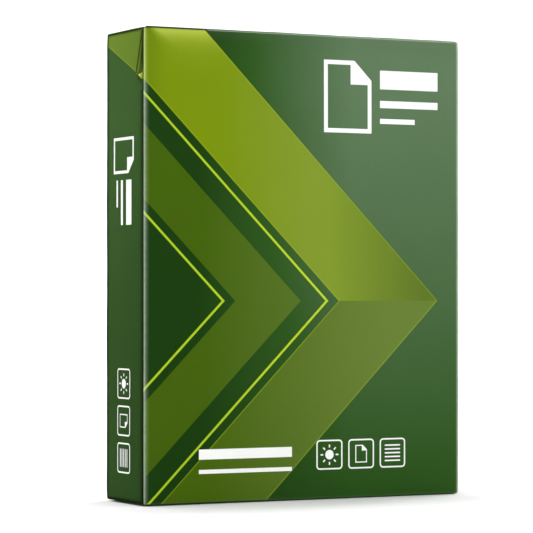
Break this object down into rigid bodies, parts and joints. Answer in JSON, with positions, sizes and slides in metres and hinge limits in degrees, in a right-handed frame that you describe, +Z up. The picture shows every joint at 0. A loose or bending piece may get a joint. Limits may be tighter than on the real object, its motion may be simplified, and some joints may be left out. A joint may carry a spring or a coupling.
{
  "type": "ream of paper",
  "caption": "Sealed pack of letter-size copy paper in a printed wrapper, folded shut over both ends and lapped down the back; stands on its lower end.",
  "frame": {"origin": "middle of the footprint, on the surface the pack stands on", "axes": "+Z up along the height of the pack, -Y out of the printed front, +X to the right of the front"},
  "size_m": [0.2172, 0.0542, 0.2814],
  "materials": {
    "wrapper": "satin coated paper, printed"
  },
  "bodies": {
    "root": {"wrapped_ream": "wrapper"}
  },
  "joints": []
}
